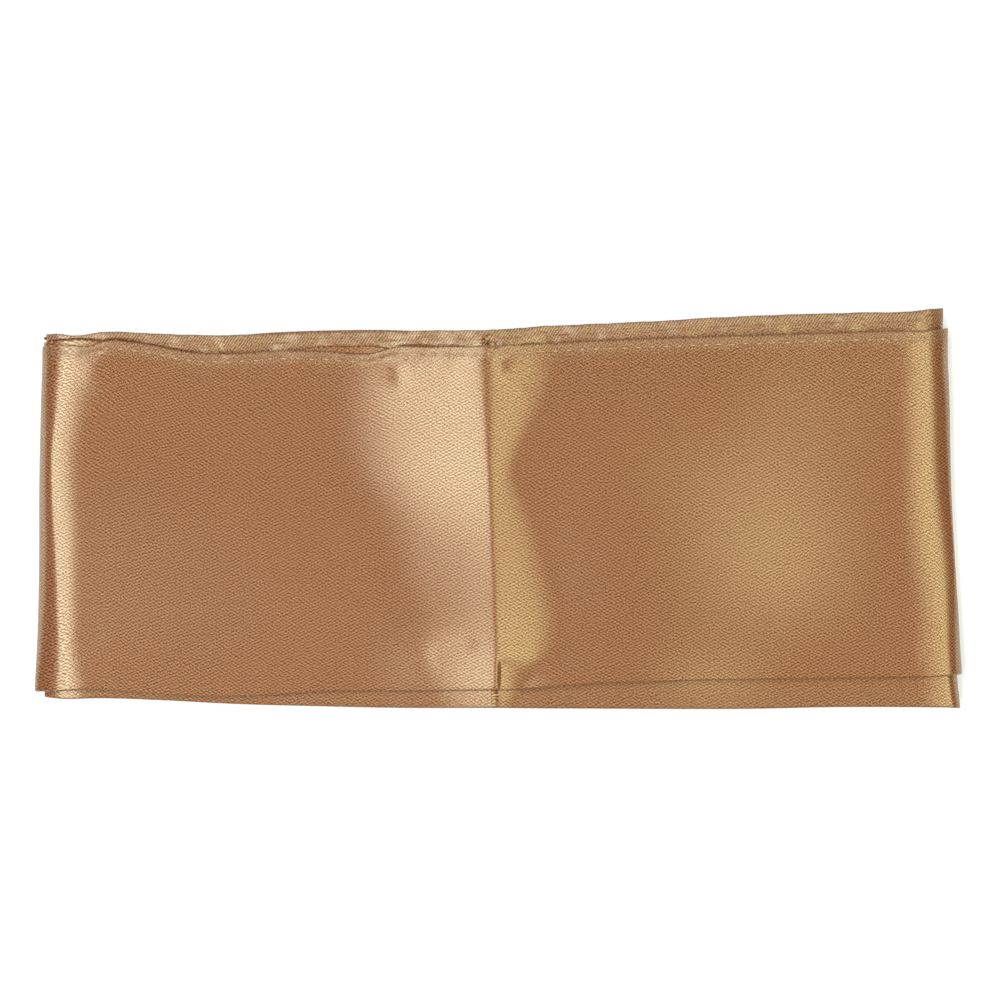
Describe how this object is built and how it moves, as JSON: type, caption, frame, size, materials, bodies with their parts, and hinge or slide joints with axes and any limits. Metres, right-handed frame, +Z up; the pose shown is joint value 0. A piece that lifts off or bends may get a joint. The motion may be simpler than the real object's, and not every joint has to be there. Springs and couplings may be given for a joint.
{
  "type": "folded satin sash",
  "caption": "Long satin sash folded flat into a layered oblong packet, with soft folds along its front edge, turned hems along its back and rounded ends.",
  "frame": {"origin": "centre of the packet's bounding box, at the height of its flat underside", "axes": "+X along the packet's length, +Y towards the turned hems, +Z up from the underside"},
  "size_m": [0.2321, 0.1, 0.0127],
  "materials": {
    "shown_satin": "copper-brown satin weave with a soft sheen",
    "shaded_satin": "the same satin where it lies in the shade of the layers above"
  },
  "bodies": {
    "root": {"top_length": "shown_satin", "top_length_back": "shaded_satin", "upper_length": "shown_satin", "lower_length": "shown_satin", "hidden_layers": "shaded_satin", "under_length": "shown_satin"}
  },
  "joints": []
}
